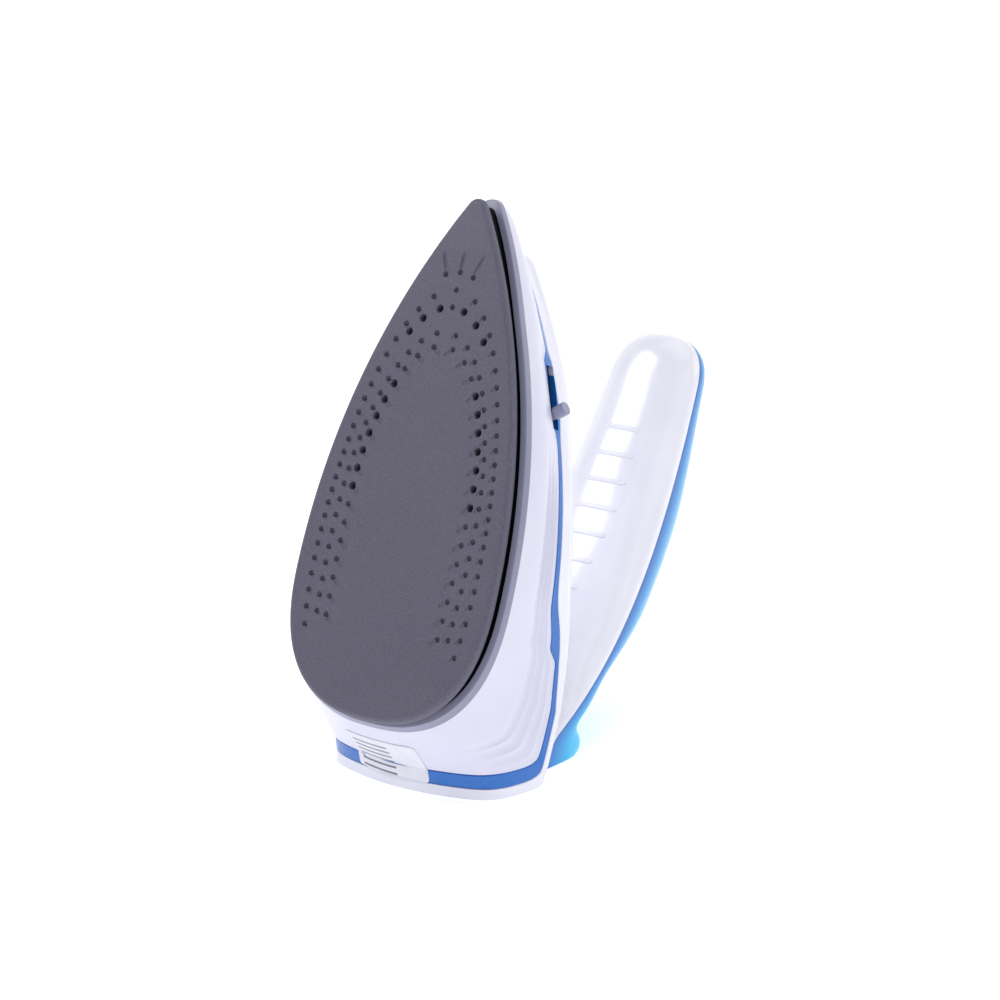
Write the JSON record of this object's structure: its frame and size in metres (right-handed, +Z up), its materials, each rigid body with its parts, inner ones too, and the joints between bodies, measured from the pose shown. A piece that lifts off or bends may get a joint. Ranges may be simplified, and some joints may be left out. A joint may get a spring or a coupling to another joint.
{
  "type": "travel steam iron",
  "caption": "Travel steam iron standing on its heel, with a perforated soleplate, a banded body and an open fold-down handle.",
  "frame": {"origin": "centre of the flat on the heel that the iron stands on", "axes": "+Z up as the iron stands, the ironing face looks towards -Y and leans back 21 degrees, +X is the side with the temperature knob"},
  "size_m": [0.0912, 0.1877, 0.1971],
  "materials": {
    "soleplate": "non-stick coated, fine speckle",
    "heating_element": "sheathed tube",
    "element_pins": "plated steel",
    "chamber_seal": "silicone",
    "chamber_cover": "rolled sheet",
    "heat_shield": "black heat-resistant moulding",
    "plate_screws": "zinc plated",
    "thermostat": "steatite",
    "thermal_fuse": "steatite",
    "earth_tab": "plated",
    "lower_housing": "white, faint lavender shade",
    "side_band": "blue",
    "top_cover": "white",
    "rating_label": "blank silver film",
    "housing_screws": "zinc plated",
    "water_tank": "translucent blue",
    "filler_seal": "soft",
    "drip_valve": "turned",
    "valve_rod": "stainless",
    "steam_button": "blue",
    "steam_spring": "spring wire",
    "filler_cap": "blue",
    "cap_pin": "stainless",
    "temperature_lever": "grey",
    "lever_knob": "lavender grey",
    "terminal_block": "steatite",
    "internal_wires": "silicone insulation",
    "cord_inlet": "soft bush",
    "cord_clamp": "nylon",
    "pilot_lamp": "neon bulb",
    "pilot_lens": "translucent red",
    "hinge_bracket": "glass-filled nylon",
    "bracket_screws": "zinc plated",
    "hinge_pin": "ground steel",
    "hinge_clips": "spring steel",
    "hinge_washers": "acetal",
    "handle_arms": "glass-filled nylon",
    "handle_inner_shell": "white",
    "handle_outer_cover": "translucent blue",
    "handle_screws": "zinc plated"
  },
  "bodies": {
    "iron": {"soleplate": "soleplate", "heating_element": "heating_element", "element_pins": "element_pins", "chamber_seal": "chamber_seal", "chamber_cover": "chamber_cover", "heat_shield": "heat_shield", "plate_screws": "plate_screws", "thermostat": "thermostat", "thermal_fuse": "thermal_fuse", "earth_tab": "earth_tab", "lower_housing": "lower_housing", "side_band": "side_band", "top_cover": "top_cover", "rating_label": "rating_label", "housing_screws": "housing_screws", "water_tank": "water_tank", "filler_seal": "filler_seal", "drip_valve": "drip_valve", "terminal_block": "terminal_block", "internal_wires": "internal_wires", "cord_inlet": "cord_inlet", "cord_clamp": "cord_clamp", "pilot_lamp": "pilot_lamp", "pilot_lens": "pilot_lens", "hinge_bracket": "hinge_bracket", "bracket_screws": "bracket_screws", "steam_spring": "steam_spring", "cap_pin": "cap_pin"},
    "handle": {"handle_arms": "handle_arms", "handle_inner_shell": "handle_inner_shell", "handle_outer_cover": "handle_outer_cover", "handle_screws": "handle_screws", "hinge_pin": "hinge_pin", "hinge_clips": "hinge_clips", "hinge_washers": "hinge_washers"},
    "lever": {"temperature_lever": "temperature_lever", "lever_knob": "lever_knob"},
    "button": {"steam_button": "steam_button", "valve_rod": "valve_rod"},
    "cap": {"filler_cap": "filler_cap"}
  },
  "joints": [
    {"name": "handle_fold", "type": "hinge", "parent": "iron", "child": "handle", "pos_m": [0, 0.02649, 0.02017], "axis": [-1, 0, 0], "range_deg": [-25, 0]},
    {"name": "temperature_turn", "type": "hinge", "parent": "iron", "child": "lever", "pos_m": [0, 0.01771, 0.11031], "axis": [0, 0.9336, -0.3584], "range_deg": [-12, 0]},
    {"name": "steam_press", "type": "slide", "parent": "iron", "child": "button", "axis": [0, -0.9336, 0.3584], "range_m": [0, 0.0022], "stiffness_N_per_m": 500, "springref_m": -0.002, "deforming": ["steam_spring"]},
    {"name": "cap_swing", "type": "hinge", "parent": "iron", "child": "cap", "pos_m": [0, 0.05038, 0.13739], "axis": [-1, 0, 0], "range_deg": [0, 95]}
  ]
}
